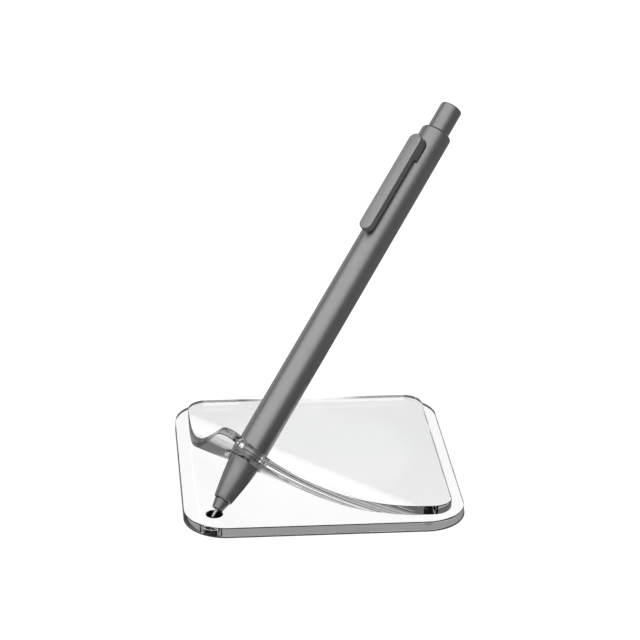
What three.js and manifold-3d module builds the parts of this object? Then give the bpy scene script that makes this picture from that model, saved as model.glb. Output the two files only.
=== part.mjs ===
// A desk pen stand with its click pen.
// Two clear sheets make the stand: a square base plate, and a smaller sheet bonded on it whose front-left
// corner is bent up into a curl. The pen goes through a round hole in the curl and its writing tip stands
// in a small black cup in the plate. Millimetres, +Z up, origin under the middle of the base plate,
// +X to the right and +Y to the back.

import * as THREE from 'three';
import { mergeVertices } from 'three/addons/utils/BufferGeometryUtils.js';
import Module from 'manifold-3d';

const wasm = await Module();
wasm.setup();

// Driving dimensions of the stand
const BASE_WIDTH = 80;
const BASE_CORNER = 12;
const STOCK = 2.75; // both pieces are cut from one clear sheet
const EDGE_BREAK = 0.25; // polished bevel round both clear pieces
const SHEET_MARGIN = 4; // the upper sheet is set in by this much on every side
const SHEET_CORNER = 5.5;
const BEND_START = 5.6; // from the middle of the stand towards the bent corner
const BEND_RADIUS = 35; // inside of the curl
const BEND_STEPS = 24;
const PEN_HOLE_RADIUS = 5.8;
const TIP_INSET = 8.5; // centre of the tip's cup from the two nearest edges
const CUP_RADIUS = 2.35;
const CUP_WALL = 0.3;
const CUP_FLOOR = 0.85;
const CUP_LIP = 0.15; // slope round the cup's mouth

// Driving dimensions of the pen, along its own axis from the plate's top face
const LEAN = 41.4; // degrees from the plate
const TIP_REACH = 1.5; // how far the ball stands below the plate's top face, along the pen
const NOZZLE_START = 1.6;
const NOZZLE_RADIUS = 2.2;
const NOZZLE_FRONT_RADIUS = 1.65;
const NOZZLE_EDGE = 0.38;
const NOZZLE_SHANK_RADIUS = 1.75;
const NOZZLE_SHANK_LENGTH = 5.2; // inside the cone, which narrows round it
const CONE_START = 4.65;
const CONE_FRONT_RADIUS = 2.68;
const CONE_LENGTH = 13.85;
const CONE_BULGE = 0.16; // the taper is slightly full in the middle
const BARREL_RADIUS = 4.7;
const BARREL_WALL = 0.7;
const BARREL_RIM = 0.9;
const END_WALL = 1.9;
const MECHANISM_ROOM = 27.2; // from the refill's rear end to the barrel's
const SPIGOT_LENGTH = 7.5;
const BUTTON_RADIUS = 3.4;
const BUTTON_SHOWN = 9.1; // with the tip out
const BUTTON_EDGE = 0.5;
const FLANGE_HEIGHT = 1;
const BUTTON_WALL = 1.1;
const CLIP_LENGTH = 33;
const CLIP_WIDTH = 4.6;
const CLIP_THICKNESS = 1.3;
const CLIP_GAP = 1.4; // between the clip's strip and the barrel
const CLIP_FROM_TOP = 5.6;
const CLIP_FOOT = 7.3;
const CLIP_FOOT_DEPTH = 0.25; // how far the foot is let into the barrel's wall
const CLIP_BEVEL = 0.25;
const BEAD_RADIUS = 1.1;
const BEAD_INSET = 2.1;

// Driving dimensions of the click mechanism and the refill
const RETRACT_TRAVEL = 5;
const PRESS_TRAVEL = 0.8; // the button goes this much further down than where it rests
const CAM_RADIUS = 2;
const CAM_BORE = 1;
const FIN_REACH = 0.6;
const FIN_HALF_ANGLE = 16;
const FIN_COUNT = 4;
const FIN_LENGTH = 2.9;
const SLOT_HALF_ANGLE = 22; // the fins' half angle and a little play
const SIDE_TURN = 1; // degrees in which the side of a fin, key or slot rises
const TOOTH_COUNT = 8;
const TOOTH_HEIGHT = 0.9;
const KEY_LENGTH = 7;
const RAIL_REACH = 0.5;
const RAIL_END_SLANT = 0.7;
const ROTOR_LENGTH = 4.3;
const ROTOR_STEP = 0.1; // the rotor is slimmer than the plunger by this much
const SLEEVE_BELOW_ROTOR = 3.3;
const REFILL_RADIUS = 1.6;
const REFILL_BORE = 1.1;
const REFILL_TUBE_START = 24;
const REFILL_TUBE_LENGTH = 81;
const PLUG_HEAD = 0.7;
const PLUG_SHANK = 5;
const NEEDLE_RADIUS = 0.5;
const NEEDLE_LENGTH = 7.2;
const HOLDER_RADIUS = 1.15;
const HOLDER_FLANGE = 0.7;
const HOLDER_SHANK = 3;
const BALL_RADIUS = 0.3;
const SPRING_RADIUS = 2.2; // to the middle of the wire
const SPRING_WIRE = 0.4;
const SPRING_CURLS = 10;
const SPRING_STEPS = 8; // to each curl
const SPRING_SIDES = 5;

// Clearances
const GAP = 0.3; // between pieces of the pen that seat on or pass one another
const FOOT_GAP = 0.2; // round the clip's foot in the barrel
const CUP_GAP = 0.15; // round the tip's cup in the plate
const BALL_GAP = 0.1; // round the ball in its seat
const MESH_GAP = 0.35; // between the two cams' teeth
const WELD_REACH = 1e-4; // points closer than this are one point

// Facets round a circle
const FINE = 48;
const COARSE = 24;
const TINY = 12;

const degrees = Math.PI / 180;

// Turns a three.js geometry into a closed mesh without doubled points or empty triangles, faces outward.
function weld(geometry) {
  const bare = geometry.index ? geometry.toNonIndexed() : geometry.clone();
  bare.deleteAttribute('normal');
  bare.deleteAttribute('uv');
  const merged = mergeVertices(bare, WELD_REACH);
  const place = merged.getAttribute('position');
  const kept = [];
  let volume = 0;
  const a = new THREE.Vector3();
  const b = new THREE.Vector3();
  const c = new THREE.Vector3();
  for (let i = 0; i < merged.index.count; i += 3) {
    const corners = [0, 1, 2].map((k) => merged.index.getX(i + k));
    if (new Set(corners).size < 3) continue;
    kept.push(...corners);
    a.fromBufferAttribute(place, corners[0]);
    b.fromBufferAttribute(place, corners[1]);
    c.fromBufferAttribute(place, corners[2]);
    volume += a.dot(b.cross(c)) / 6;
  }
  if (volume < 0) {
    for (let i = 0; i < kept.length; i += 3) [kept[i], kept[i + 1]] = [kept[i + 1], kept[i]];
  }
  const out = new THREE.BufferGeometry();
  out.setAttribute('position', place.clone());
  out.setIndex(kept);
  return out;
}

function toManifold(geometry) {
  const closed = weld(geometry);
  const vertProperties = new Float32Array(closed.getAttribute('position').array);
  const triVerts = new Uint32Array(closed.index.array);
  return new wasm.Manifold(new wasm.Mesh({ numProp: 3, vertProperties, triVerts }));
}

function fromManifold(manifold) {
  const mesh = manifold.getMesh();
  const out = new THREE.BufferGeometry();
  out.setAttribute('position', new THREE.BufferAttribute(new Float32Array(mesh.vertProperties), 3));
  out.setIndex(Array.from(mesh.triVerts));
  return out;
}

const cut = (body, ...tools) =>
  fromManifold(tools.reduce((left, tool) => left.subtract(toManifold(tool)), toManifold(body)));

const join = (...bodies) =>
  fromManifold(bodies.slice(1).reduce((left, body) => left.add(toManifold(body)), toManifold(bodies[0])));

// Revolves a profile of [radius, height] pairs about the Z axis.
function revolve(profile, facets) {
  const points = profile.map(([radius, height]) => new THREE.Vector2(radius, height));
  return new THREE.LatheGeometry(points, facets).rotateX(90 * degrees);
}

// A tube or ring: its profile is closed on itself.
const revolveRing = (profile, facets) => revolve([...profile, profile[0]], facets);

// A quarter round between two heights or radii, as profile points.
function quarter(centreRadius, centreHeight, radius, from, to, steps = 4) {
  const points = [];
  for (let i = 0; i <= steps; i += 1) {
    const angle = (from + ((to - from) * i) / steps) * degrees;
    points.push([centreRadius + radius * Math.cos(angle), centreHeight + radius * Math.sin(angle)]);
  }
  return points;
}

// Joins rings of points that all have the same count. closed joins the last ring to the first; otherwise
// both end rings get a lid of triangles about their middle.
function skin(rings, closed) {
  const count = rings[0].length;
  const positions = [];
  const triangle = (a, b, c) => positions.push(...a, ...b, ...c);
  const bands = closed ? rings.length : rings.length - 1;
  for (let i = 0; i < bands; i += 1) {
    const low = rings[i];
    const high = rings[(i + 1) % rings.length];
    for (let k = 0; k < count; k += 1) {
      const next = (k + 1) % count;
      triangle(low[k], low[next], high[next]);
      triangle(low[k], high[next], high[k]);
    }
  }
  if (!closed) {
    const middle = (ring) => [0, 1, 2].map((axis) => ring.reduce((sum, p) => sum + p[axis], 0) / count);
    const first = rings[0];
    const last = rings[rings.length - 1];
    const firstMiddle = middle(first);
    const lastMiddle = middle(last);
    for (let k = 0; k < count; k += 1) {
      const next = (k + 1) % count;
      triangle(firstMiddle, first[next], first[k]);
      triangle(lastMiddle, last[k], last[next]);
    }
  }
  const out = new THREE.BufferGeometry();
  out.setAttribute('position', new THREE.BufferAttribute(new Float32Array(positions), 3));
  return out;
}

// A ring whose profile changes with the angle, for cams, rails and keys. profileAt gives the same number
// of [radius, height] pairs at every angle.
function camRing(angles, profileAt) {
  const rings = angles.map((angle) =>
    profileAt(angle).map(([radius, height]) => [
      radius * Math.cos(angle * degrees),
      radius * Math.sin(angle * degrees),
      height,
    ]));
  return skin(rings, true);
}

// The flat outline of a square with round corners, from the middle of its back-right corner round the left
// side to the middle of the front-left corner, as points with their outward directions. The other half is
// its mirror image about the diagonal.
function halfOutline(half, corner, stepsPerCorner, edgeCuts) {
  const points = [];
  const arc = (centreX, centreY, from, to, steps) => {
    for (let i = 0; i <= steps; i += 1) {
      const angle = (from + ((to - from) * i) / steps) * degrees;
      const out = [Math.cos(angle), Math.sin(angle)];
      points.push({ place: [centreX + corner * out[0], centreY + corner * out[1]], out });
    }
  };
  const inner = half - corner;
  arc(inner, inner, 45, 90, stepsPerCorner / 2);
  arc(-inner, inner, 90, 180, stepsPerCorner);
  for (const y of edgeCuts) {
    if (y < inner && y > -inner) points.push({ place: [-half, y], out: [-1, 0] });
  }
  arc(-inner, -inner, 180, 225, stepsPerCorner / 2);
  return points;
}

const mirrorPoint = ({ place, out }) => ({ place: [place[1], place[0]], out: [out[1], out[0]] });

// A plate from two mirrored halves of an outline. bend maps (x, y, height above the underside) to its place,
// so a flat plate and a curled one are made the same way. The lids are strips across the diagonal, which
// lie along the straight lines of the bend.
function plate(half, thickness, bevel, bend) {
  const levels = [[bevel, 0], [0, bevel], [0, thickness - bevel], [bevel, thickness]];
  const at = (point, [inset, height]) =>
    bend(point.place[0] - inset * point.out[0], point.place[1] - inset * point.out[1], height);
  const other = half.map(mirrorPoint);
  const loop = [...half, ...other.slice(1, -1).reverse()];
  const positions = [];
  const quad = (a, b, c, d) => positions.push(...a, ...b, ...c, ...a, ...c, ...d);
  for (let i = 0; i < loop.length; i += 1) {
    const here = loop[i];
    const next = loop[(i + 1) % loop.length];
    for (let k = 0; k + 1 < levels.length; k += 1) {
      quad(at(here, levels[k]), at(here, levels[k + 1]), at(next, levels[k + 1]), at(next, levels[k]));
    }
  }
  const top = levels[levels.length - 1];
  for (let i = 0; i + 1 < half.length; i += 1) {
    quad(at(half[i], levels[0]), at(half[i + 1], levels[0]), at(other[i + 1], levels[0]), at(other[i], levels[0]));
    quad(at(half[i], top), at(other[i], top), at(other[i + 1], top), at(half[i + 1], top));
  }
  const out = new THREE.BufferGeometry();
  out.setAttribute('position', new THREE.BufferAttribute(new Float32Array(positions), 3));
  return out;
}

// Places worked out from the driving dimensions
const plateTop = STOCK;
const sheetHalf = BASE_WIDTH / 2 - SHEET_MARGIN;
const tipPlace = -(BASE_WIDTH / 2 - TIP_INSET);
const coneEnd = CONE_START + CONE_LENGTH;
const barrelStart = coneEnd + GAP;
const tubeEnd = REFILL_TUBE_START + REFILL_TUBE_LENGTH;
const barrelEnd = tubeEnd + MECHANISM_ROOM;
const barrelBore = BARREL_RADIUS - BARREL_WALL;
const endWallInside = barrelEnd - END_WALL;
const buttonEnd = barrelEnd + BUTTON_SHOWN;
const flangeTop = endWallInside - GAP - RETRACT_TRAVEL;
const flangeBottom = flangeTop - FLANGE_HEIGHT;
const sleeveTop = flangeBottom - PRESS_TRAVEL - GAP;
const buttonBore = BUTTON_RADIUS - BUTTON_WALL;
const plugEnd = tubeEnd + GAP + PLUG_HEAD;
const rotorStart = plugEnd + GAP;
const rotorEnd = rotorStart + ROTOR_LENGTH;
const finRadius = CAM_RADIUS + FIN_REACH;
const slotRadius = finRadius + GAP;
const railRadius = slotRadius - RAIL_REACH;
const sleeveBottom = rotorStart - SLEEVE_BELOW_ROTOR;
const sleeveRadius = barrelBore - GAP;
const finEnd = rotorStart + PLUG_HEAD + FIN_LENGTH;
const railEnd = finEnd + GAP + RAIL_END_SLANT;
const holderFlangeBottom = REFILL_TUBE_START - GAP - HOLDER_FLANGE;
const springChamber = SPRING_RADIUS + SPRING_WIRE / 2 + 2 * GAP;
const holderFlangeRadius = springChamber - GAP;
const coneBore = NOZZLE_SHANK_RADIUS + GAP;
const chamberStart = CONE_START + NOZZLE_SHANK_LENGTH;
const ballCentre = -TIP_REACH + BALL_RADIUS;
const clipEnd = barrelEnd - CLIP_FROM_TOP;
const clipStart = clipEnd - CLIP_LENGTH;
const clipUnderside = BARREL_RADIUS + CLIP_GAP;
const finPeriod = 360 / FIN_COUNT;
const rotorRadius = CAM_RADIUS - ROTOR_STEP;
// A cutting tool of this length passes right through a clear sheet.
const throughSheet = 8 * STOCK;

// The stand
function flat(x, y, height) {
  return [x, y, height];
}

// Rolls the sheet up past the bend's start, about a line square to the diagonal.
function curl(x, y, height) {
  const along = -(x + y) / Math.SQRT2;
  const across = (x - y) / Math.SQRT2;
  const past = along - BEND_START;
  const middle = BEND_RADIUS + STOCK / 2;
  const angle = Math.max(past, 0) / middle;
  const radius = BEND_RADIUS + STOCK - height;
  const reach = past > 0 ? BEND_START + radius * Math.sin(angle) : along;
  const rise = past > 0 ? BEND_RADIUS + STOCK - radius * Math.cos(angle) : height;
  return [(-reach + across) / Math.SQRT2, (-reach - across) / Math.SQRT2, plateTop + rise];
}

// Heights on the left edge where the bent sheet needs a cross line, one for each step of the bend.
function bendCuts() {
  const cornerAlong = sheetHalf * Math.SQRT2;
  const cuts = [];
  for (let i = 0; i <= BEND_STEPS; i += 1) {
    const along = BEND_START + ((cornerAlong - BEND_START) * i) / BEND_STEPS;
    cuts.push(sheetHalf - along * Math.SQRT2);
  }
  return cuts;
}

// A direction and place for everything on the pen: local Z runs up the pen, local X is its upper side.
const penUp = new THREE.Vector3(Math.cos(LEAN * degrees) / Math.SQRT2, Math.cos(LEAN * degrees) / Math.SQRT2,
  Math.sin(LEAN * degrees));
const penTopSide = new THREE.Vector3(-Math.sin(LEAN * degrees) / Math.SQRT2,
  -Math.sin(LEAN * degrees) / Math.SQRT2, Math.cos(LEAN * degrees));
const penFrame = new THREE.Matrix4()
  .makeBasis(penTopSide, new THREE.Vector3().crossVectors(penUp, penTopSide), penUp)
  .setPosition(tipPlace, tipPlace, plateTop);

function basePlate() {
  const half = halfOutline(BASE_WIDTH / 2, BASE_CORNER, 16, []);
  const body = plate(half, STOCK, EDGE_BREAK, flat);
  const hole = new THREE.CylinderGeometry(CUP_RADIUS + CUP_GAP, CUP_RADIUS + CUP_GAP, throughSheet, COARSE);
  hole.rotateX(90 * degrees).translate(tipPlace, tipPlace, 0);
  return cut(body, hole);
}

function curledSheet() {
  const half = halfOutline(sheetHalf, SHEET_CORNER, 8, bendCuts());
  const body = plate(half, STOCK, EDGE_BREAK, curl);
  // The pen lies on the lower side of its hole, so the hole's centre is above the pen's.
  const rise = PEN_HOLE_RADIUS - BARREL_RADIUS - GAP;
  const hole = new THREE.CylinderGeometry(PEN_HOLE_RADIUS, PEN_HOLE_RADIUS, throughSheet, FINE);
  hole.rotateX(90 * degrees).translate(rise, 0, coneEnd).applyMatrix4(penFrame);
  return cut(body, hole);
}

function tipSocket() {
  const inner = CUP_RADIUS - CUP_WALL;
  const cup = revolve([[0, 0], [CUP_RADIUS, 0], [CUP_RADIUS, plateTop], [inner + CUP_LIP, plateTop],
    [inner, plateTop - CUP_LIP], [inner, CUP_FLOOR], [0, CUP_FLOOR]], COARSE);
  return cup.translate(tipPlace, tipPlace, 0);
}

// The pen's case
function barrel() {
  const opening = BUTTON_RADIUS + GAP;
  const tube = revolveRing([
    [barrelBore, barrelStart],
    [BARREL_RADIUS, barrelStart],
    ...quarter(BARREL_RADIUS - BARREL_RIM, barrelEnd - BARREL_RIM, BARREL_RIM, 0, 90),
    [opening, barrelEnd],
    [opening, endWallInside],
    [barrelBore, endWallInside],
  ], FINE);
  // The slot for the foot of the clip goes right through the wall.
  return cut(tube, footSolid(FOOT_GAP, 0, clipUnderside));
}

function frontCone() {
  const spigot = barrelBore - GAP;
  const taper = [];
  const steps = 6;
  for (let i = 0; i <= steps; i += 1) {
    const share = i / steps;
    const straight = CONE_FRONT_RADIUS + (BARREL_RADIUS - CONE_FRONT_RADIUS) * share;
    taper.push([straight + CONE_BULGE * Math.sin(Math.PI * share), CONE_START + CONE_LENGTH * share]);
  }
  return revolveRing([
    [coneBore, CONE_START],
    ...taper,
    [spigot, coneEnd],
    [spigot, coneEnd + SPIGOT_LENGTH],
    [springChamber, coneEnd + SPIGOT_LENGTH],
    [springChamber, chamberStart],
    [coneBore, chamberStart],
  ], FINE);
}

function nozzle() {
  const frontBore = NEEDLE_RADIUS + GAP;
  const rearBore = HOLDER_RADIUS + GAP;
  const collarTop = CONE_START - GAP;
  return revolveRing([
    [frontBore, NOZZLE_START],
    ...quarter(NOZZLE_FRONT_RADIUS - NOZZLE_EDGE, NOZZLE_START + NOZZLE_EDGE, NOZZLE_EDGE, -90, 0),
    [NOZZLE_RADIUS, collarTop],
    [NOZZLE_SHANK_RADIUS, collarTop],
    [NOZZLE_SHANK_RADIUS, chamberStart - GAP],
    [rearBore, chamberStart - GAP],
    [rearBore, collarTop],
    [frontBore, collarTop - HOLDER_RADIUS],
  ], COARSE);
}

// The outline of the clip's strip, or of its foot when from is higher up the strip: x across, y up the pen.
function stripShape(from, spread, roundStart) {
  const half = CLIP_WIDTH / 2 + spread;
  const shape = new THREE.Shape();
  const topCentre = clipEnd - CLIP_WIDTH / 2;
  if (roundStart) {
    shape.absarc(0, from + CLIP_WIDTH / 2, half, Math.PI, 2 * Math.PI);
  } else {
    shape.moveTo(-half, from - spread);
    shape.lineTo(half, from - spread);
  }
  shape.absarc(0, topCentre, half, 0, Math.PI);
  shape.closePath();
  return shape;
}

// Stands a shape drawn across and up the pen on the pen's upper side, between two distances from its axis.
function extrudeOutward(shape, from, to, bevel) {
  const options = { depth: to - from - bevel, curveSegments: 8, bevelEnabled: bevel > 0 };
  if (bevel > 0) Object.assign(options, { bevelThickness: bevel, bevelSize: bevel, bevelOffset: -bevel,
    bevelSegments: 1 });
  const solid = new THREE.ExtrudeGeometry(shape, options);
  const stand = new THREE.Matrix4().makeBasis(new THREE.Vector3(0, 1, 0), new THREE.Vector3(0, 0, 1),
    new THREE.Vector3(1, 0, 0));
  return solid.applyMatrix4(stand).translate(from, 0, 0);
}

function footSolid(spread, from, to) {
  return extrudeOutward(stripShape(clipEnd - CLIP_FOOT, spread, false), from, to, 0);
}

function clip() {
  const strip = extrudeOutward(stripShape(clipStart, 0, true), clipUnderside + CLIP_BEVEL,
    clipUnderside + CLIP_THICKNESS, CLIP_BEVEL);
  const footBottom = BARREL_RADIUS - CLIP_FOOT_DEPTH;
  const foot = footSolid(0, footBottom - CLIP_WIDTH / 2, clipUnderside + CLIP_THICKNESS / 2);
  const saddle = new THREE.CylinderGeometry(footBottom, footBottom, 2 * CLIP_LENGTH, FINE);
  saddle.rotateX(90 * degrees).translate(0, 0, clipEnd);
  const bead = new THREE.SphereGeometry(BEAD_RADIUS, TINY, TINY / 2);
  bead.translate(clipUnderside, 0, clipStart + BEAD_INSET);
  return join(strip, cut(foot, saddle), bead);
}

function pushButton() {
  const boreEnd = flangeBottom + KEY_LENGTH + FLANGE_HEIGHT;
  return revolve([
    [0, boreEnd],
    [buttonBore, boreEnd],
    [buttonBore, flangeBottom],
    [barrelBore - GAP, flangeBottom],
    [barrelBore - GAP, flangeTop],
    [BUTTON_RADIUS, flangeTop],
    ...quarter(BUTTON_RADIUS - BUTTON_EDGE, buttonEnd - BUTTON_EDGE, BUTTON_EDGE, 0, 90),
    [0, buttonEnd],
  ], FINE);
}

// The click mechanism
function toothWave(angle) {
  const period = 360 / TOOTH_COUNT;
  const share = (((angle % period) + period) % period) / period;
  return share < 0.5 ? 2 * share : 2 - 2 * share;
}

// The angle from the middle of the nearest fin, from minus half a period to half a period.
const fromFin = (angle) => ((angle + finPeriod / 2) % finPeriod) - finPeriod / 2;

const isNear = (angle, halfAngle) => Math.abs(fromFin(angle)) < halfAngle;

// The slanted ends of fins and rails: from minus half to half of the slant's height over each period.
const endSlant = (offset) => (RAIL_END_SLANT * offset) / finPeriod;

// Angles for a cam ring: every tooth's tip and root, and both sides of each fin, key or rail.
function camAngles(halfAngle) {
  const angles = [];
  for (let angle = 0; angle < 360; angle += 180 / TOOTH_COUNT) angles.push(angle);
  for (let centre = 0; centre < 360; centre += finPeriod) {
    for (const side of [-halfAngle, halfAngle]) {
      const edge = centre + side + 360;
      angles.push((edge - SIDE_TURN / 2) % 360, (edge + SIDE_TURN / 2) % 360);
    }
  }
  return angles.sort((a, b) => a - b);
}

function plungerCam() {
  const top = flangeBottom + KEY_LENGTH + FLANGE_HEIGHT - GAP;
  const keyStart = railEnd + RAIL_END_SLANT + GAP;
  return camRing(camAngles(FIN_HALF_ANGLE), (angle) => {
    const toothEnd = rotorEnd + TOOTH_HEIGHT * toothWave(angle);
    const outer = isNear(angle, FIN_HALF_ANGLE) ? finRadius : CAM_RADIUS;
    return [[CAM_BORE, toothEnd], [CAM_RADIUS, toothEnd], [CAM_RADIUS, keyStart], [outer, keyStart + GAP],
      [outer, keyStart + KEY_LENGTH], [CAM_RADIUS, keyStart + KEY_LENGTH + GAP], [CAM_RADIUS, top],
      [CAM_BORE, top]];
  });
}

function rotorCam() {
  return camRing(camAngles(FIN_HALF_ANGLE), (angle) => {
    const toothEnd = rotorEnd - MESH_GAP + TOOTH_HEIGHT * toothWave(angle);
    const outer = isNear(angle, FIN_HALF_ANGLE) ? finRadius : rotorRadius;
    const finStart = rotorStart + PLUG_HEAD;
    const slant = endSlant(fromFin(angle));
    return [[CAM_BORE, rotorStart], [REFILL_RADIUS, rotorStart], [rotorRadius, finStart - GAP],
      [outer, finStart], [outer, finEnd - RAIL_END_SLANT / 2 + slant], [rotorRadius, finEnd],
      [rotorRadius, toothEnd], [CAM_BORE, toothEnd]];
  });
}

function camSleeve() {
  return camRing(camAngles(SLOT_HALF_ANGLE), (angle) => {
    const inner = isNear(angle, SLOT_HALF_ANGLE) ? slotRadius : railRadius;
    const end = railEnd - RAIL_END_SLANT / 2 + endSlant((angle % finPeriod) - finPeriod / 2);
    return [[slotRadius, sleeveBottom], [sleeveRadius, sleeveBottom], [sleeveRadius, sleeveTop],
      [inner, sleeveTop], [inner, end + RAIL_END_SLANT], [slotRadius, end]];
  });
}

// The refill
function refillTube() {
  return revolveRing([[REFILL_BORE, REFILL_TUBE_START], [REFILL_RADIUS, REFILL_TUBE_START],
    [REFILL_RADIUS, tubeEnd], [REFILL_BORE, tubeEnd]], COARSE);
}

function refillPlug() {
  const shank = REFILL_BORE - GAP;
  return revolve([[0, tubeEnd - PLUG_SHANK], [shank, tubeEnd - PLUG_SHANK], [shank, tubeEnd + GAP],
    [REFILL_RADIUS, tubeEnd + GAP], [REFILL_RADIUS, plugEnd], [0, plugEnd]], COARSE);
}

// The ball sits in a bored seat in the needle's end.
function refillTip() {
  const seat = BALL_RADIUS + BALL_GAP;
  const needleEnd = ballCentre + NEEDLE_LENGTH;
  const shank = REFILL_BORE - GAP;
  return revolve([
    [0, ballCentre + seat],
    [seat, ballCentre + seat],
    [seat, ballCentre],
    [NEEDLE_RADIUS, ballCentre + seat],
    [NEEDLE_RADIUS, needleEnd],
    [HOLDER_RADIUS, needleEnd + HOLDER_RADIUS],
    [HOLDER_RADIUS, holderFlangeBottom],
    [holderFlangeRadius, holderFlangeBottom],
    [holderFlangeRadius, holderFlangeBottom + HOLDER_FLANGE],
    [shank, holderFlangeBottom + HOLDER_FLANGE],
    [shank, REFILL_TUBE_START + HOLDER_SHANK],
    [0, REFILL_TUBE_START + HOLDER_SHANK],
  ], COARSE);
}

function refillBall() {
  return new THREE.SphereGeometry(BALL_RADIUS, TINY, TINY / 2).translate(0, 0, ballCentre);
}

// One unbroken wire: a straight end, the curls, a straight end. The section is carried along without twist.
function returnSpring() {
  const start = chamberStart + GAP;
  const end = holderFlangeBottom - GAP;
  const climb = end - start - 2 * SPRING_WIRE;
  const total = SPRING_CURLS * SPRING_STEPS;
  const path = [new THREE.Vector3(SPRING_RADIUS, 0, start)];
  for (let i = 0; i <= total; i += 1) {
    const angle = (i / SPRING_STEPS) * 2 * Math.PI;
    const height = start + SPRING_WIRE + (climb * i) / total;
    path.push(new THREE.Vector3(SPRING_RADIUS * Math.cos(angle), SPRING_RADIUS * Math.sin(angle), height));
  }
  path.push(new THREE.Vector3(SPRING_RADIUS, 0, end));
  const rings = path.map((point, i) => {
    const onCurl = i > 1 && i < path.length - 2;
    const ahead = onCurl ? path[i + 1].clone().sub(path[i - 1]).normalize() : new THREE.Vector3(0, 0, 1);
    const out = new THREE.Vector3(point.x, point.y, 0).normalize();
    const side = new THREE.Vector3().crossVectors(ahead, out).normalize();
    const lift = new THREE.Vector3().crossVectors(side, ahead).normalize();
    return Array.from({ length: SPRING_SIDES }, (_, k) => {
      const angle = (k / SPRING_SIDES) * 2 * Math.PI;
      return point.clone()
        .addScaledVector(lift, (SPRING_WIRE / 2) * Math.cos(angle))
        .addScaledVector(side, (SPRING_WIRE / 2) * Math.sin(angle)).toArray();
    });
  });
  const pitch = climb / SPRING_CURLS;
  let least = Infinity;
  for (let i = 0; i < path.length; i += 1) {
    for (let k = i + SPRING_STEPS / 2; k < path.length; k += 1) {
      if (Math.abs(path[k].z - path[i].z) > pitch / 2) least = Math.min(least, path[i].distanceTo(path[k]));
    }
  }
  console.log(`return spring: least gap between curls ${(least - SPRING_WIRE).toFixed(2)} mm`);
  return skin(rings, false);
}

// Finishes: colour, roughness and metalness of each material
const clear = { color: 0xf2f5f6, roughness: 0.05, metalness: 0, transparent: true, opacity: 0.35 };
const black = { color: 0x0c0c0d, roughness: 0.6, metalness: 0 };
const grey = { color: 0x9a9a9c, roughness: 0.45, metalness: 0.9 };
const steel = { color: 0xb9bbbd, roughness: 0.3, metalness: 1 };
const white = { color: 0xe4e4e0, roughness: 0.5, metalness: 0 };
const milky = { color: 0xd8d8d2, roughness: 0.35, metalness: 0 };

function piece(name, geometry, finish) {
  const mesh = new THREE.Mesh(weld(geometry), new THREE.MeshStandardMaterial(finish));
  mesh.geometry.computeVertexNormals();
  mesh.name = name;
  return mesh;
}

const stand = new THREE.Group();
stand.add(piece('base_plate', basePlate(), clear));
stand.add(piece('curled_sheet', curledSheet(), clear));
stand.add(piece('tip_socket', tipSocket(), black));

const pen = new THREE.Group();
pen.add(piece('barrel', barrel(), grey));
pen.add(piece('front_cone', frontCone(), grey));
pen.add(piece('nozzle', nozzle(), grey));
pen.add(piece('clip', clip(), grey));
pen.add(piece('push_button', pushButton(), grey));
pen.add(piece('plunger_cam', plungerCam(), white));
pen.add(piece('cam_sleeve', camSleeve(), white));
pen.add(piece('rotor_cam', rotorCam(), white));
pen.add(piece('refill_tube', refillTube(), milky));
pen.add(piece('refill_plug', refillPlug(), white));
pen.add(piece('refill_tip', refillTip(), steel));
pen.add(piece('refill_ball', refillBall(), steel));
pen.add(piece('return_spring', returnSpring(), steel));
pen.applyMatrix4(penFrame);

const penStandSet = new THREE.Group();
penStandSet.add(stand, pen);

export default penStandSet;
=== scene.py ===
"""A clear desk pen stand with its click pen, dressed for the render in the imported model's frame."""

import math

import bmesh
import bpy
from mathutils import Matrix, Vector


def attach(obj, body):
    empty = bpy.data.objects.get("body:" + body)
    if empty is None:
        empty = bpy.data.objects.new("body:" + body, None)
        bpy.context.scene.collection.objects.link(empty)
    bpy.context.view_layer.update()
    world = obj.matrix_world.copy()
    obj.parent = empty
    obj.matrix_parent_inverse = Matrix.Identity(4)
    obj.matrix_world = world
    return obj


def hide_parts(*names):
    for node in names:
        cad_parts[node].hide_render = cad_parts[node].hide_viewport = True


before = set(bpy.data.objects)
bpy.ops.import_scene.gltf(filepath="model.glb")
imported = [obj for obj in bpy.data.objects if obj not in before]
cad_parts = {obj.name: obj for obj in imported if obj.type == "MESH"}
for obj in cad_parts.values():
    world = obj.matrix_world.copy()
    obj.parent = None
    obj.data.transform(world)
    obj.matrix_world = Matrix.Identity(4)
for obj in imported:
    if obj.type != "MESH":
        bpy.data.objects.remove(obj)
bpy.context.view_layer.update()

MM = 0.001
DIAGONAL = math.sqrt(0.5)

# The stand, in millimetres
BASE_WIDTH = 80
BASE_CORNER = 12
STOCK = 2.75
SHEET_MARGIN = 4
SHEET_CORNER = 5.5
BEND_START = 5.6
BEND_RADIUS = 35
PEN_HOLE_RADIUS = 5.8
PEN_HOLE_RISE = 0.8
EDGE_BREAK = 0.2
BOND_LINE = 0.02
TIP_INSET = 8.5
CUP_RADIUS = 2.35
CUP_HOLE_RADIUS = 2.5
CUP_BORE = 2.05
CUP_EDGE = 0.1
CUP_LIP = 0.15
CUP_FLOOR = 0.85

# How far the tools that cut the stand's holes reach to each side, in millimetres
CUP_HOLE_REACH = 5
PEN_HOLE_REACH = 12

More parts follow.
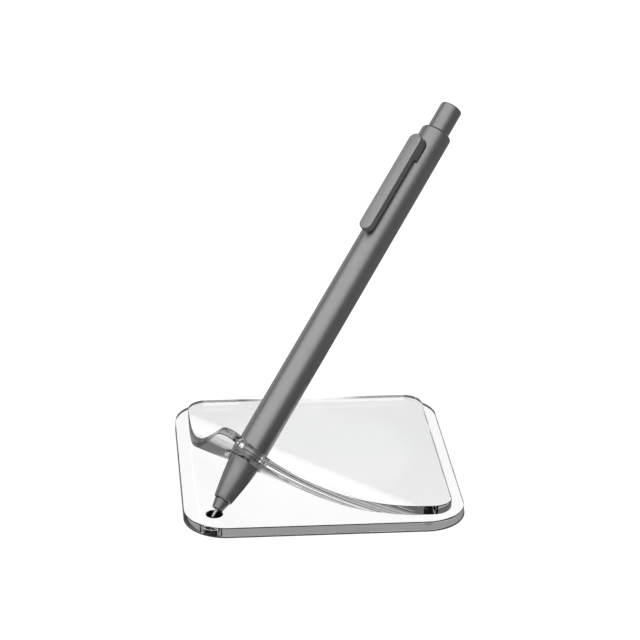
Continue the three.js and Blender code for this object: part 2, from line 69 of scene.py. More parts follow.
# The pen, in millimetres along its own axis from the plate's top face
LEAN = math.radians(41.4)
NOZZLE_START = 1.6
NOZZLE_END = 4.35
NOZZLE_RADIUS = 2.2
NOZZLE_FRONT_RADIUS = 1.7
NOZZLE_EDGE = 0.15
NOZZLE_STEP_EDGE = 0.05
NOZZLE_SHANK_RADIUS = 1.75
NOZZLE_SHANK_END = 9.55
NOZZLE_MOUTH = 0.8
NOZZLE_MOUTH_END = 3.2
NOZZLE_BORE = 1.45
CONE_START = 4.65
CONE_FRONT_RADIUS = 2.68
CONE_BULGE = 0.16
CONE_EDGE = 0.12
CONE_END = 18.5
CONE_BORE = 2.05
CONE_BORE_END = 9.85
SPIGOT_RADIUS = 3.7
SPIGOT_BORE = 3.0
SPIGOT_END = 26
BARREL_START = 18.8
BARREL_END = 132.2
BARREL_RADIUS = 4.7
BARREL_EDGE = 0.08
BARREL_RIM = 0.9
BARREL_BORE = 4.0
BARREL_MOUTH = 3.7
MOUTH_CHAMFER = 0.28
MOUTH_SLACK = 0.02
END_WALL = 1.9
BUTTON_RADIUS = 3.4
BUTTON_FLANGE_RADIUS = 3.7
BUTTON_FLANGE_START = 124
BUTTON_FLANGE_END = 125
BUTTON_BORE = 2.3
BUTTON_BORE_END = 132
BUTTON_END = 141.3
BUTTON_EDGE = 0.45

# The clip, in millimetres; its heights are from the pen's axis
CLIP_START = 92.9
CLIP_END = 126.6
CLIP_WIDTH = 4.2
CLIP_UNDERSIDE = 5.8
CLIP_TOP = 8.1
CLIP_EDGE = 0.28
CLIP_FOOT = 7.3
CLIP_FOOT_BOTTOM = 4.45
CLIP_FOOT_INSET = 0.06
CLIP_FOOT_OVERLAP = 0.6
CLIP_FOOT_BLANK = 2
CLIP_FOOT_SPAN = (100, 140)
CLIP_SLOT_GAP = 0.2
BEAD_RADIUS = 0.9
BEAD_INSET = 2.1
BEAD_TURN = 85

# How finely the stand's outlines and edges are divided. BASE_CUT is in millimetres.
CORNER_STEPS = 32
BACK_STEPS = 12
BASE_CUT = 8
BEND_STEPS = 72
PLATE_EDGE_STEPS = 3

# How finely the pen's pieces, its clip and the cup are divided
LATHE_SEGMENTS = 128
SMALL_SEGMENTS = 96
BEAD_SEGMENTS = 48
LATHE_EDGE_STEPS = 8
NOZZLE_EDGE_STEPS = 6
BEAD_STEPS = 16
CONE_STEPS = 24
BAR_STEPS = 32
BAR_EDGE_STEPS = 4
SLOT_STEPS = 16

# Edges that turn by more degrees than this are kept crisp
SHARP = 30
LATHE_SHARP = 25
BAR_SHARP = 20
PLATE_SHARP = 4
# Points closer than this, in metres, are joined
WELD = 1e-7

# Finishes: the part of the noise's range that is used, how far roughness varies, and the grain's depth
# in metres
NOISE_RANGE = (0.3, 0.7)
ROUGHNESS_SPREAD = 0.05
GRAIN_DEPTH = 0.00002

# The camera, fitted to the photograph. It is moved right and up in its own plane. Lengths are in
# millimetres, its focal length in pixels, and the range that it shows in metres.
AZIMUTH = math.radians(-6.07)
ELEVATION = math.radians(24.04)
ROLL = math.radians(1.09)
DISTANCE = 684.27
CAMERA_RIGHT = 1.666
CAMERA_UP = 43.39
SENSOR_WIDTH = 36
FOCAL_PIXELS = 2315.47
IMAGE_PIXELS = 640
HALF_PIXEL = 0.5
VIEW_RANGE = (0.01, 20)

# The floor, in metres, and its light: as seen, as mirrored once or twice, and as mirrored more often.
# The mirrored lights are painted shade and painted reflections in the pen and the sheets' edges.
FLOOR_REACH = 6
FLOOR_DROP = 0.00005
FLOOR_LIGHT = 1.1
MIRRORED_LIGHT = 0.12
EDGE_LIGHT = 0.31
# Round places on the floor that stay bright when mirrored, as painted reflections, in millimetres. The
# last two numbers are the radii where the brightness begins to fade and has faded; the first two are the
# middle.
UNDER_STAND = (0, 8, 26, 32)
ROUND_TIP = (5, 8)
# Where the floor behind the stand begins to stay bright in sharp mirror images, as a painted reflection,
# in metres
BEHIND_STAND = (0.04, 0.05)
# The base plate's thin shadow, painted into the floor's light: its light, how far it falls to the front,
# and where it begins and ends to fade, in millimetres from the plate's outline
SHADOW_LIGHT = 0.03
SHADOW_OFFSET = 0.45
SHADOW_START = -0.1
SHADOW_END = 0.35

# The room, by the height and depth of a direction of length 1. WALL_LIGHT pairs heights with light.
ROOM_LIGHT = 0.1
WALL_LIGHT = [(0, 1.15), (0.08, 1.05), (0.3, 0.3), (1, 0.22)]
WALL_FADE = (0.35, 0.75)
BAND_FADE = (0.405, 0.445)
BAND_LIGHT = 1.12
ABOVE_BAND = 0.3
REPEATED_LIGHT = 0.45

# The softbox, in metres
SOFTBOX_PLACE = (-0.18, -0.25, 0.667)
SOFTBOX_AIM = (0, 0, 0.05)
SOFTBOX_SIDE = (-0.69, 0.52, 0.13)
SOFTBOX_SIZE = (1.7, 0.9)

CLEAR_BOUNCES = 40
GLOSSY_BOUNCES = 12


def frame_matrix(x_axis, y_axis, z_axis, origin):
    columns = Matrix((x_axis, y_axis, z_axis)).transposed().to_4x4()
    return Matrix.Translation(origin) @ columns


PEN_UP = Vector((math.cos(LEAN) * DIAGONAL, math.cos(LEAN) * DIAGONAL, math.sin(LEAN)))
PEN_TOP_SIDE = Vector((-math.sin(LEAN) * DIAGONAL, -math.sin(LEAN) * DIAGONAL, math.cos(LEAN)))
PEN_SIDE = PEN_UP.cross(PEN_TOP_SIDE)
TIP_PLACE = -(BASE_WIDTH / 2 - TIP_INSET)
PEN_ORIGIN = Vector((TIP_PLACE, TIP_PLACE, STOCK))

# Each of these takes millimetres in its own frame to metres in the model's
PEN = Matrix.Scale(MM, 4) @ frame_matrix(PEN_TOP_SIDE, PEN_SIDE, PEN_UP, PEN_ORIGIN)
STAND = Matrix.Scale(MM, 4)
TIP_HOLE = STAND @ Matrix.Translation((TIP_PLACE, TIP_PLACE, 0))


# Meshes

def make_piece(name, verts, faces, matrix, sharp=SHARP):
    mesh = bpy.data.meshes.new(name)
    mesh.from_pydata([matrix @ Vector(v) for v in verts], [], faces)
    work = bmesh.new()
    work.from_mesh(mesh)
    bmesh.ops.remove_doubles(work, verts=work.verts, dist=WELD)
    bmesh.ops.recalc_face_normals(work, faces=work.faces)
    work.to_mesh(mesh)
    work.free()
    obj = bpy.data.objects.new(name, mesh)
    bpy.context.scene.collection.objects.link(obj)
    shade(obj, sharp)
    return obj


def shade(obj, sharp):
    """Smooth shading, with the edges that turn by more than sharp degrees kept crisp."""
    work = bmesh.new()
    work.from_mesh(obj.data)
    for face in work.faces:
        face.smooth = True
    for edge in work.edges:
        edge.smooth = len(edge.link_faces) == 2 and edge.calc_face_angle(0) < math.radians(sharp)
    work.to_mesh(obj.data)
    work.free()


def boolean(obj, tool, operation="DIFFERENCE", sharp=SHARP):
    """Applies the tool to obj and removes the tool."""
    modifier = obj.modifiers.new("cut", "BOOLEAN")
    modifier.operation = operation
    modifier.solver = "EXACT"
    modifier.object = tool
    bpy.context.view_layer.update()
    graph = bpy.context.evaluated_depsgraph_get()
    done = bpy.data.meshes.new_from_object(obj.evaluated_get(graph))
    obj.modifiers.clear()
    old = obj.data
    obj.data = done
    bpy.data.meshes.remove(old)
    bpy.data.objects.remove(tool)
    shade(obj, sharp)


def lathe(name, profile, matrix, segments=LATHE_SEGMENTS):
    """Revolves (radius, height) pairs about local Z.

    A profile starts and ends on the axis, or else it closes on itself.
    """
    verts = []
    rows = []
    closed = profile[0][0] > 0
    for radius, height in profile:
        if radius == 0:
            rows.append([len(verts)] * segments)
            verts.append((0, 0, height))
            continue
        rows.append(list(range(len(verts), len(verts) + segments)))
        for i in range(segments):
            angle = 2 * math.pi * i / segments
            verts.append((radius * math.cos(angle), radius * math.sin(angle), height))
    faces = []
    pairs = list(zip(rows, rows[1:])) + ([(rows[-1], rows[0])] if closed else [])
    for low, high in pairs:
        for i in range(segments):
            k = (i + 1) % segments
            corners = list(dict.fromkeys([low[i], low[k], high[k], high[i]]))
            if len(corners) > 2:
                faces.append(corners)
    return make_piece(name, verts, faces, matrix, LATHE_SHARP)


def round_tool(radius, matrix, low, high):
    return lathe("tool", [(0, low), (radius, low), (radius, high), (0, high)], matrix)


def rounded(radius, height, size, start, end, steps=LATHE_EDGE_STEPS):
    """Points of a lathe's rounded edge: size is its radius, start and end are angles in degrees."""
    points = []
    for i in range(steps + 1):
        angle = math.radians(start + (end - start) * i / steps)
        points.append((radius + size * math.cos(angle), height + size * math.sin(angle)))
    return points


def edge_steps(size, count):
    """How far in and how far up a sheet's rounded edge is, from its flat face to its side."""
    angles = [math.pi / 2 * i / count for i in range(count + 1)]
    return [(size * (1 - math.sin(a)), size * (1 - math.cos(a))) for a in angles]


def half_outline(half, corner, cuts):
    """Half of a square with round corners, as x, y and the direction outward.

    It goes from the middle of the back right corner round the left side to the middle of the front left
    corner. cuts are the places on the left side that get a point.
    """
    inner = half - corner
    points = []

    def arc(x, y, start, end, count):
        for i in range(count + 1):
            angle = math.radians(start + (end - start) * i / count)
            out_x, out_y = math.cos(angle), math.sin(angle)
            points.append((x + corner * out_x, y + corner * out_y, out_x, out_y))

    arc(inner, inner, 45, 90, CORNER_STEPS // 2)
    for i in range(1, BACK_STEPS):
        points.append((inner - 2 * inner * i / BACK_STEPS, half, 0, 1))
    arc(-inner, inner, 90, 180, CORNER_STEPS)
    for y in cuts:
        if -inner < y < inner:
            points.append((-half, y, -1, 0))
    arc(-inner, -inner, 180, 225, CORNER_STEPS // 2)
    return points


def plate(name, half, bend):
    """A sheet between half its outline and that half's mirror image about the diagonal.

    bend takes each point of the flat sheet to its place.
    """
    rounds = edge_steps(EDGE_BREAK, PLATE_EDGE_STEPS)
    levels = rounds + [(inset, STOCK - height) for inset, height in reversed(rounds)]
    top = len(levels) - 1
    other = [(y, x, out_y, out_x) for x, y, out_x, out_y in half]
    loop = half + other[-2:0:-1]
    verts = []
    index = {}

    def at(point, level):
        key = (point, level)
        if key not in index:
            x, y, out_x, out_y = point
            inset, height = levels[level]
            index[key] = len(verts)
            verts.append(bend(x - inset * out_x, y - inset * out_y, height))
        return index[key]

    faces = []
    for here, ahead in zip(loop, loop[1:] + loop[:1]):
        for k in range(top):
            faces.append([at(here, k), at(here, k + 1), at(ahead, k + 1), at(ahead, k)])
    for n in range(len(half) - 1):
        for level in (0, top):
            corners = [half[n], half[n + 1], other[n + 1], other[n]]
            faces.append(list(dict.fromkeys(at(corner, level) for corner in corners)))
    return make_piece(name, verts, faces, STAND, PLATE_SHARP)


def flat(x, y, height):
    return x, y, height


def curl(x, y, height):
    """Bends the front left corner up round a cylinder that lies across the diagonal."""
    along = -(x + y) * DIAGONAL
    across = (x - y) * DIAGONAL
    if along > BEND_START:
        angle = (along - BEND_START) / (BEND_RADIUS + STOCK / 2)
        radius = BEND_RADIUS + STOCK - height
        reach = BEND_START + radius * math.sin(angle)
        rise = BEND_RADIUS + STOCK - radius * math.cos(angle)
    else:
        reach, rise = along, height
    return (across - reach) * DIAGONAL, (-reach - across) * DIAGONAL, STOCK + BOND_LINE + rise


def bar_outline(start, grow, round_start, steps=BAR_STEPS):
    """The clip's outline seen from outside the pen: x across the pen, y up it."""
    half = CLIP_WIDTH / 2 + grow
    points = []

    def half_circle(centre, turn):
        for i in range(steps + 1):
            angle = turn + math.pi * i / steps
            points.append((half * math.cos(angle), centre + half * math.sin(angle)))

    if round_start:
        half_circle(start + CLIP_WIDTH / 2, math.pi)
    else:
        points += [(-half, start - grow), (half, start - grow)]
    half_circle(CLIP_END - CLIP_WIDTH / 2, 0)
    return points


def bar(name, outline, low, high, edge=0):
    """An outline stood on the pen's upper side, with rounded edges of the given size."""
    count = len(outline)
    rounds = edge_steps(edge, BAR_EDGE_STEPS) if edge else [(0, 0)]
    levels = [(inset, low + lift) for inset, lift in rounds]
    levels += [(inset, high - lift) for inset, lift in reversed(rounds)]
    verts = []
    for inset, level in levels:
        for n in range(count):
            before, here, after = outline[n - 1], outline[n], outline[(n + 1) % count]
            dx, dy = after[0] - before[0], after[1] - before[1]
            size = math.hypot(dx, dy)
            verts.append((level, here[0] - inset * dy / size, here[1] + inset * dx / size))
    faces = [list(range(count)), list(range(count * (len(levels) - 1), count * len(levels)))]
    for k in range(len(levels) - 1):
        for n in range(count):
            m = (n + 1) % count
            faces.append([k * count + n, k * count + m, (k + 1) * count + m, (k + 1) * count + n])
    return make_piece(name, verts, faces, PEN, BAR_SHARP)


# Nodes of the materials and the world

def feed(tree, node, inputs):
    """Sets each input of a node to a value, or links it where a socket is given."""
    for key, value in inputs.items():
        if isinstance(value, bpy.types.NodeSocket):
            tree.links.new(value, node.inputs[key])
        else:
            node.inputs[key].default_value = value


def add_node(tree, kind, inputs=None, operation=None):
    node = tree.nodes.new(kind)
    if operation:
        node.operation = operation
    feed(tree, node, inputs or {})
    return node


def ramp(tree, value, start, end, low, high, interpolation="SMOOTHSTEP"):
    """Goes from low to high while value goes from start to end."""
    node = add_node(tree, "ShaderNodeMapRange", {
        "Value": value, "From Min": start, "From Max": end, "To Min": low, "To Max": high})
    node.interpolation_type = interpolation
    return node.outputs["Result"]


def at_least(tree, depth, count, fewer=0, enough=1):
    """The number enough where a ray has bounced count times or more, else the number fewer."""
    return ramp(tree, depth, count - 1, count, fewer, enough)


def times(tree, first, second):
    return add_node(tree, "ShaderNodeMath", {0: first, 1: second}, "MULTIPLY").outputs["Value"]


def between(tree, share, low, high):
    """low mixed with high by share."""
    return add_node(tree, "ShaderNodeMix", {"Factor": share, "A": low, "B": high}).outputs["Result"]


def noise(tree, scale, detail):
    """Noise in the object's own metres."""
    place = add_node(tree, "ShaderNodeTexCoord").outputs["Object"]
    texture = add_node(tree, "ShaderNodeTexNoise", {"Vector": place, "Scale": scale, "Detail": detail})
    return texture.outputs["Fac"]


def vary(tree, value, low, high):
    """Maps noise to a range of numbers."""
    return ramp(tree, value, *NOISE_RANGE, low, high, "LINEAR")


def tint(tree, value, dark, pale):
    """Maps noise to a range of colours."""
    node = add_node(tree, "ShaderNodeValToRGB", {"Fac": value})
    for element, place, colour in zip(node.color_ramp.elements, NOISE_RANGE, (dark, pale)):
        element.position = place
        element.color = (*colour, 1)
    return node.outputs["Color"]


def bump(tree, value, strength, distance):
    node = add_node(tree, "ShaderNodeBump", {"Height": value, "Strength": strength, "Distance": distance})
    return node.outputs["Normal"]


# Materials

def material(name):
    mat = bpy.data.materials.new(name)
    mat.use_nodes = True
    return mat, mat.node_tree, mat.node_tree.nodes["Principled BSDF"]


def clear_acrylic():
    mat, tree, shader = material("clear_acrylic")
    large = noise(tree, scale=18, detail=2)
    feed(tree, shader, {
        "IOR": 1.49,
        "Transmission Weight": 1,
        "Roughness": 0,
        "Base Color": tint(tree, large, dark=(0.985, 0.99, 0.99), pale=(1, 1, 1)),
        "Normal": bump(tree, large, strength=0.15, distance=0.0002),
    })
    return mat


def pen_metal():
    """Bead-blasted, anodised aluminium."""
    mat, tree, shader = material("pen_metal")
    fine = noise(tree, scale=9000, detail=5)
    feed(tree, shader, {
        "Metallic": 1,
        "Base Color": tint(tree, fine, dark=(0.36, 0.36, 0.365), pale=(0.42, 0.42, 0.425)),
        "Roughness": vary(tree, noise(tree, scale=700, detail=3), low=0.4, high=0.46),
        "Normal": bump(tree, fine, strength=0.12, distance=0.00003),
    })
    return mat


def plain(name, dark, pale, roughness, metallic, scale, grain):
    """A finish whose tint and roughness vary a little with a fine grain."""
    mat, tree, shader = material(name)
    value = noise(tree, scale, detail=4)
    feed(tree, shader, {
        "Metallic": metallic,
        "Base Color": tint(tree, value, dark, pale),
        "Roughness": vary(tree, value, roughness - ROUGHNESS_SPREAD, roughness + ROUGHNESS_SPREAD),
        "Normal": bump(tree, value, grain, GRAIN_DEPTH),
    })
    return mat


def black_insert():
    return plain("black_insert", dark=(0.004, 0.004, 0.0045), pale=(0.01, 0.01, 0.011),
                 roughness=0.35, metallic=0, scale=2500, grain=0.1)


def cut_metal():
    return plain("cut_metal", dark=(0.8, 0.8, 0.81), pale=(0.9, 0.9, 0.91),
                 roughness=0.2, metallic=1, scale=4000, grain=0.05)


def white_moulding():
    return plain("white_moulding", dark=(0.72, 0.72, 0.71), pale=(0.8, 0.8, 0.79),
                 roughness=0.5, metallic=0, scale=900, grain=0.1)


def milky_tube():
    return plain("milky_tube", dark=(0.66, 0.66, 0.62), pale=(0.74, 0.74, 0.7),
                 roughness=0.3, metallic=0, scale=400, grain=0.05)


def drawn_steel():
    return plain("drawn_steel", dark=(0.5, 0.5, 0.51), pale=(0.62, 0.62, 0.63),
                 roughness=0.28, metallic=1, scale=3000, grain=0.1)


# The camera and the light

def add_camera():
    back = Vector((math.sin(AZIMUTH) * math.cos(ELEVATION), -math.cos(AZIMUTH) * math.cos(ELEVATION),
                   math.sin(ELEVATION)))
    right = (-back).cross(Vector((0, 0, 1))).normalized()
    up = right.cross(-back)
    turned_right = right * math.cos(ROLL) + up * math.sin(ROLL)
    turned_up = up * math.cos(ROLL) - right * math.sin(ROLL)
    aside = CAMERA_RIGHT - HALF_PIXEL * DISTANCE / FOCAL_PIXELS
    rise = CAMERA_UP + HALF_PIXEL * DISTANCE / FOCAL_PIXELS
    data = bpy.data.cameras.new("camera")
    data.lens = FOCAL_PIXELS * SENSOR_WIDTH / IMAGE_PIXELS
    data.sensor_width = SENSOR_WIDTH
    data.clip_start, data.clip_end = VIEW_RANGE
    camera = bpy.data.objects.new("camera", data)
    place = back * DISTANCE + turned_right * aside + turned_up * rise
    camera.matrix_world = frame_matrix(turned_right, turned_up, back, place * MM)
    bpy.context.scene.collection.objects.link(camera)
    bpy.context.scene.camera = camera


def spot(tree, place, x, y, start, end):
    """1 round a place on the floor, and 0 further out."""
    middle = (x * MM, y * MM, 0)
    away = add_node(tree, "ShaderNodeVectorMath", {0: place, 1: middle}, "DISTANCE").outputs["Value"]
    return ramp(tree, away, start * MM, end * MM, low=1, high=0)


def painted_base_shadow(tree, place):
    """The floor's light with the base plate's thin shadow painted into it, which falls a little to the
    front.
    """
    inner = (BASE_WIDTH / 2 - BASE_CORNER) * MM
    folded = place
    for operation, value in (("ADD", (0, SHADOW_OFFSET * MM, 0)), ("ABSOLUTE", (0, 0, 0)),
                             ("SUBTRACT", (inner, inner, 0)), ("MAXIMUM", (0, 0, 0))):
        node = add_node(tree, "ShaderNodeVectorMath", {0: folded, 1: value}, operation)
        folded = node.outputs["Vector"]
    away = add_node(tree, "ShaderNodeVectorMath", {0: folded}, "LENGTH").outputs["Value"]
    return ramp(tree, away, (BASE_CORNER + SHADOW_START) * MM, (BASE_CORNER + SHADOW_END) * MM,
                SHADOW_LIGHT, FLOOR_LIGHT)


def add_floor():
    """A white table, lit from below as for photographs of clear things.

    Its light is set by the kind of ray and paints the reflections: it is dim, as painted shade, for what
    mirrors it, the pen and the sheets' edges, but not in the places that the curl mirrors: under the
    stand and behind it, which stay bright as painted reflections. It also carries the base plate's
    painted shadow.
    """
    corners = [(-FLOOR_REACH, -FLOOR_REACH, 0), (FLOOR_REACH, -FLOOR_REACH, 0),
               (FLOOR_REACH, FLOOR_REACH, 0), (-FLOOR_REACH, FLOOR_REACH, 0)]
    floor = make_piece("floor", corners, [[0, 1, 2, 3]], Matrix.Translation((0, 0, -FLOOR_DROP)))
    mat, tree, shader = material("floor")
    place = add_node(tree, "ShaderNodeTexCoord").outputs["Object"]
    backward = add_node(tree, "ShaderNodeSeparateXYZ", {"Vector": place}).outputs["Y"]
    light_path = add_node(tree, "ShaderNodeLightPath")
    through = light_path.outputs["Transmission Depth"]
    mirrors = light_path.outputs["Glossy Depth"]

    passed = at_least(tree, through, 1)
    under = times(tree, spot(tree, place, *UNDER_STAND), passed)
    outside = at_least(tree, through, 1, fewer=1, enough=0)
    straight = times(tree, outside, light_path.outputs["Is Singular Ray"])
    behind = times(tree, ramp(tree, backward, *BEHIND_STAND, low=0, high=1), straight)
    # Painted shade and painted reflections: mirrored, the floor is dim except in these bright places
    mirrored = MIRRORED_LIGHT
    for share in (under, behind, spot(tree, place, TIP_PLACE, TIP_PLACE, *ROUND_TIP)):
        mirrored = between(tree, share, mirrored, FLOOR_LIGHT)
    # Seen directly, the floor carries the base plate's painted shadow
    seen = between(tree, passed, painted_base_shadow(tree, place), FLOOR_LIGHT)
    level = between(tree, at_least(tree, mirrors, 1), seen, mirrored)
    level = between(tree, at_least(tree, mirrors, 3), level, EDGE_LIGHT)
    feed(tree, shader, {
        "Base Color": (0.05, 0.05, 0.05, 1),
        "Roughness": 1,
        "Specular IOR Level": 0,
        "Emission Color": (1, 1, 1, 1),
        "Emission Strength": level,
    })
    floor.data.materials.append(mat)


def add_world():
    """A dark room with a pale wall behind.

    What is seen directly or through clear plastic is as white as the table. The sharp mirror images in
    the plastic show a bright band low on the wall.
    """
    world = bpy.data.worlds.new("studio")
    world.use_nodes = True
    world.cycles.sampling_method = "NONE"
    bpy.context.scene.world = world
    tree = world.node_tree
    direction = add_node(tree, "ShaderNodeTexCoord").outputs["Generated"]
    split = add_node(tree, "ShaderNodeSeparateXYZ", {"Vector": direction})
    light_path = add_node(tree, "ShaderNodeLightPath")
    sharp_ray = light_path.outputs["Is Singular Ray"]
    mirrors = light_path.outputs["Glossy Depth"]

    wall = add_node(tree, "ShaderNodeValToRGB", {"Fac": split.outputs["Z"]})
    wall.color_ramp.interpolation = "EASE"
    elements = wall.color_ramp.elements
    for height, _ in WALL_LIGHT[1:-1]:
        elements.new(height)
    for element, (height, light) in zip(elements, WALL_LIGHT):
        element.position = height
        element.color = (light, light, light, 1)
    band = ramp(tree, split.outputs["Z"], *BAND_FADE, BAND_LIGHT, ABOVE_BAND)
    mirrored = between(tree, sharp_ray, wall.outputs["Color"], band)
    behind = ramp(tree, split.outputs["Y"], *WALL_FADE, low=0, high=1)
    level = between(tree, behind, ROOM_LIGHT, mirrored)
    level = times(tree, level, at_least(tree, mirrors, 3, fewer=1, enough=REPEATED_LIGHT))

    direct = times(tree, at_least(tree, mirrors, 1, fewer=1, enough=0), sharp_ray)
    camera_ray = light_path.outputs["Is Camera Ray"]
    seen = add_node(tree, "ShaderNodeMath", {0: camera_ray, 1: direct}, "MAXIMUM").outputs["Value"]
    feed(tree, tree.nodes["Background"], {
        "Color": (1, 1, 1, 1),
        "Strength": between(tree, seen, level, FLOOR_LIGHT),
    })


def add_softbox():
    """A flat rectangle of light above the stand, which faces it."""
    place, side = Vector(SOFTBOX_PLACE), Vector(SOFTBOX_SIDE)
    facing = (place - Vector(SOFTBOX_AIM)).normalized()
    first = (side - facing * facing.dot(side)).normalized()
    data = bpy.data.lights.new("overhead", "AREA")
    data.shape = "RECTANGLE"
    data.size, data.size_y = SOFTBOX_SIZE
    data.energy = math.pi * SOFTBOX_SIZE[0] * SOFTBOX_SIZE[1]
    light = bpy.data.objects.new("overhead", data)
    light.matrix_world = frame_matrix(first, facing.cross(first), facing, place)
    bpy.context.scene.collection.objects.link(light)


def add_studio():
    add_floor()
    add_world()
    add_softbox()
    scene = bpy.context.scene
    scene.view_settings.view_transform = "Standard"
    scene.view_settings.look = "None"
    scene.cycles.max_bounces = CLEAR_BOUNCES
    scene.cycles.transmission_bounces = CLEAR_BOUNCES
    scene.cycles.glossy_bounces = GLOSSY_BOUNCES


# The pieces

def finish_piece(obj, body, mat, node):
    obj.data.materials.clear()
    obj.data.materials.append(mat)
    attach(obj, body)
    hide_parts(node)


def build_base_plate(acrylic):
    cuts = [BASE_WIDTH / 2 - i * BASE_CUT for i in range(BASE_WIDTH // BASE_CUT + 1)]
    base = plate("base_plate_clear", half_outline(BASE_WIDTH / 2, BASE_CORNER, cuts), flat)
    tool = round_tool(CUP_HOLE_RADIUS, TIP_HOLE, -CUP_HOLE_REACH, CUP_HOLE_REACH)
    boolean(base, tool, sharp=PLATE_SHARP)
    finish_piece(base, "stand", acrylic, "base_plate")


def build_curled_sheet(acrylic):
    """The sheet's side is divided into equal steps round the bend."""
    half = BASE_WIDTH / 2 - SHEET_MARGIN
    bent = half * math.sqrt(2) - BEND_START
    cuts = [half - (BEND_START + bent * i / BEND_STEPS) * math.sqrt(2) for i in range(BEND_STEPS + 1)]
    sheet = plate("curled_sheet_clear", half_outline(half, SHEET_CORNER, cuts), curl)
    pen_hole = PEN @ Matrix.Translation((PEN_HOLE_RISE, 0, CONE_END))
    tool = round_tool(PEN_HOLE_RADIUS, pen_hole, -PEN_HOLE_REACH, PEN_HOLE_REACH)
    boolean(sheet, tool, sharp=PLATE_SHARP)
    finish_piece(sheet, "stand", acrylic, "curled_sheet")


def build_cup(black):
    cup = lathe("tip_cup", [
        (0, 0),
        (CUP_RADIUS, 0),
        (CUP_RADIUS, STOCK - CUP_EDGE),
        (CUP_RADIUS - CUP_EDGE, STOCK),
        (CUP_BORE + CUP_LIP, STOCK),
        (CUP_BORE, STOCK - CUP_LIP),
        (CUP_BORE, CUP_FLOOR),
        (0, CUP_FLOOR),
    ], TIP_HOLE, segments=SMALL_SEGMENTS)
    finish_piece(cup, "stand", black, "tip_socket")


def shine_mouth(case):
    """The chamfer at the barrel's mouth is cut after the finish and shines."""
    case.data.materials.append(cut_metal())
    to_pen = PEN.inverted()
    for face in case.data.polygons:
        place = to_pen @ face.center
        height = place.z - (BARREL_END - MOUTH_CHAMFER)
        radius = math.hypot(place.x, place.y)
        if MOUTH_SLACK < height < MOUTH_CHAMFER - MOUTH_SLACK and radius < BARREL_MOUTH + MOUTH_CHAMFER:
            face.material_index = 1


def build_barrel(metal):
    case = lathe("barrel_case", [
        (BARREL_BORE, BARREL_START),
        (BARREL_RADIUS - BARREL_EDGE, BARREL_START),
        (BARREL_RADIUS, BARREL_START + BARREL_EDGE),
        *rounded(BARREL_RADIUS - BARREL_RIM, BARREL_END - BARREL_RIM, BARREL_RIM, 0, 90),
        (BARREL_MOUTH + MOUTH_CHAMFER, BARREL_END),
        (BARREL_MOUTH, BARREL_END - MOUTH_CHAMFER),
        (BARREL_MOUTH, BARREL_END - END_WALL),
        (BARREL_BORE, BARREL_END - END_WALL),
    ], PEN)
    slot_outline = bar_outline(CLIP_END - CLIP_FOOT, CLIP_SLOT_GAP, False, SLOT_STEPS)
    boolean(case, bar("tool", slot_outline, 0, CLIP_UNDERSIDE), sharp=LATHE_SHARP)
    finish_piece(case, "pen", metal, "barrel")
    shine_mouth(case)


def cone_profile():
    """The cone's outside, a little bulged between its two ends."""
    points = []
    for i in range(CONE_STEPS + 1):
        share = i / CONE_STEPS
        straight = CONE_FRONT_RADIUS + (BARREL_RADIUS - CONE_FRONT_RADIUS) * share
        points.append((straight + CONE_BULGE * math.sin(math.pi * share),
                       CONE_START + (CONE_END - CONE_START) * share))
    front = points[0][0]
    points[:1] = [(front - CONE_EDGE, CONE_START), (front, CONE_START + CONE_EDGE)]
    return points


def build_cone(metal):
    cone = lathe("cone_case", [
        (CONE_BORE, CONE_START),
        *cone_profile(),
        (SPIGOT_RADIUS, CONE_END),
        (SPIGOT_RADIUS, SPIGOT_END),
        (SPIGOT_BORE, SPIGOT_END),
        (SPIGOT_BORE, CONE_BORE_END),
        (CONE_BORE, CONE_BORE_END),
    ], PEN)
    finish_piece(cone, "pen", metal, "front_cone")


def build_nozzle(metal):
    nose = lathe("nozzle_case", [
        (NOZZLE_MOUTH, NOZZLE_START),
        *rounded(NOZZLE_FRONT_RADIUS - NOZZLE_EDGE, NOZZLE_START + NOZZLE_EDGE, NOZZLE_EDGE, -90, 0,
                 NOZZLE_EDGE_STEPS),
        (NOZZLE_RADIUS, NOZZLE_END - NOZZLE_STEP_EDGE),
        (NOZZLE_RADIUS - NOZZLE_STEP_EDGE, NOZZLE_END),
        (NOZZLE_SHANK_RADIUS, NOZZLE_END),
        (NOZZLE_SHANK_RADIUS, NOZZLE_SHANK_END),
        (NOZZLE_BORE, NOZZLE_SHANK_END),
        (NOZZLE_BORE, NOZZLE_END),
        (NOZZLE_MOUTH, NOZZLE_MOUTH_END),
    ], PEN, segments=SMALL_SEGMENTS)
    finish_piece(nose, "pen", metal, "nozzle")


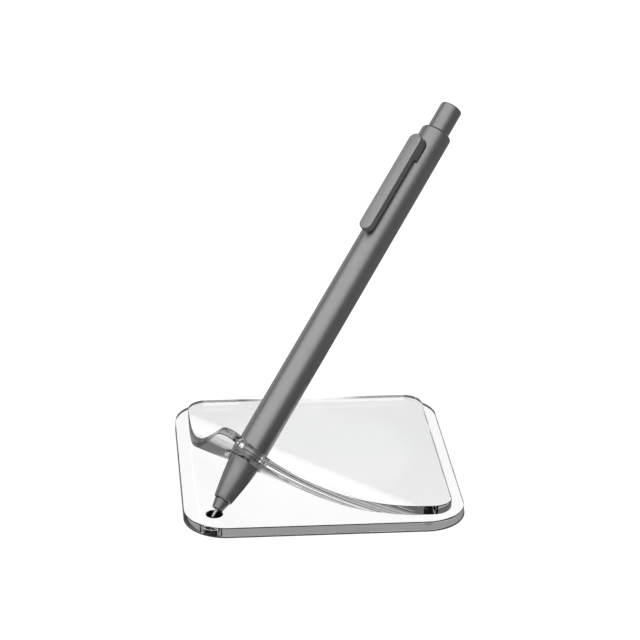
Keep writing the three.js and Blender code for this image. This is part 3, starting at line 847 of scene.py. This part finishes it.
def build_button(metal):
    knob = lathe("button_case", [
        (0, BUTTON_BORE_END),
        (BUTTON_BORE, BUTTON_BORE_END),
        (BUTTON_BORE, BUTTON_FLANGE_START),
        (BUTTON_FLANGE_RADIUS, BUTTON_FLANGE_START),
        (BUTTON_FLANGE_RADIUS, BUTTON_FLANGE_END),
        (BUTTON_RADIUS, BUTTON_FLANGE_END),
        *rounded(BUTTON_RADIUS - BUTTON_EDGE, BUTTON_END - BUTTON_EDGE, BUTTON_EDGE, 0, 90),
        (0, BUTTON_END),
    ], PEN)
    finish_piece(knob, "button", metal, "push_button")


def build_clip(metal):
    strip = bar("clip_bar", bar_outline(CLIP_START, 0, True), CLIP_UNDERSIDE, CLIP_TOP, CLIP_EDGE)
    foot_outline = bar_outline(CLIP_END - CLIP_FOOT, -CLIP_FOOT_INSET, False)
    foot = bar("tool", foot_outline, CLIP_FOOT_BLANK, CLIP_UNDERSIDE + CLIP_FOOT_OVERLAP)
    boolean(foot, round_tool(CLIP_FOOT_BOTTOM, PEN, *CLIP_FOOT_SPAN))
    boolean(strip, foot, "UNION")
    ball = rounded(0, 0, BEAD_RADIUS, -BEAD_TURN, BEAD_TURN, BEAD_STEPS)
    bead_place = PEN @ Matrix.Translation((CLIP_UNDERSIDE, 0, CLIP_START + BEAD_INSET))
    bead = lathe("tool", [(0, -BEAD_RADIUS), *ball, (0, BEAD_RADIUS)], bead_place, segments=BEAD_SEGMENTS)
    boolean(strip, bead, "UNION")
    finish_piece(strip, "clip", metal, "clip")


def dress_cad_nodes():
    """Gives the pieces that are shown as packed their finishes."""
    white = white_moulding()
    milky = milky_tube()
    steel = drawn_steel()
    finishes = {
        "plunger_cam": white, "cam_sleeve": white, "rotor_cam": white, "refill_plug": white,
        "refill_tube": milky, "refill_tip": steel, "refill_ball": steel, "return_spring": steel,
    }
    for node, mat in finishes.items():
        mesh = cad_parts[node].data
        mesh.materials.clear()
        mesh.materials.append(mat)


add_camera()
add_studio()
acrylic = clear_acrylic()
metal = pen_metal()
black = black_insert()
build_base_plate(acrylic)
build_curled_sheet(acrylic)
build_cup(black)
build_barrel(metal)
build_cone(metal)
build_nozzle(metal)
build_button(metal)
build_clip(metal)
dress_cad_nodes()
